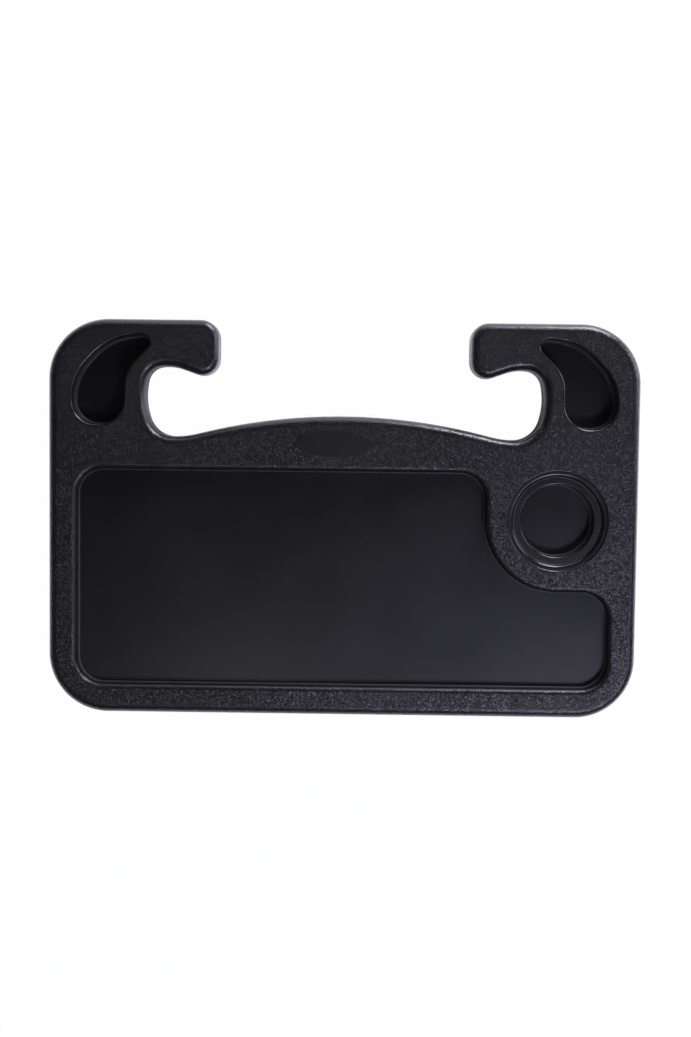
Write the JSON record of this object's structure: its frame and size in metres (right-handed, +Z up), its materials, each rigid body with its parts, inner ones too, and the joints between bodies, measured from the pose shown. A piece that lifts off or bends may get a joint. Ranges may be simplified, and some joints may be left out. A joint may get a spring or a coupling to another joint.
{
  "type": "steering wheel tray",
  "caption": "Hollow plastic tray that hooks over a steering wheel, with a wide dished tray, a stepped round cup recess, two teardrop pockets and open slots under its hooks.",
  "frame": {"origin": "under the middle of the outline, on the surface that the flat back lies on", "axes": "+X to the right across the tray, +Y towards the hooks, +Z up out of the dished side"},
  "size_m": [0.422, 0.2824, 0.026],
  "materials": {
    "grained_plastic": "black, fine pebble grain with a slight gloss, smooth inside the recesses",
    "smooth_plastic": "black, smooth and dull"
  },
  "bodies": {
    "root": {"front_shell": "grained_plastic", "rear_shell": "grained_plastic", "oval_inlay": "smooth_plastic"}
  },
  "joints": []
}
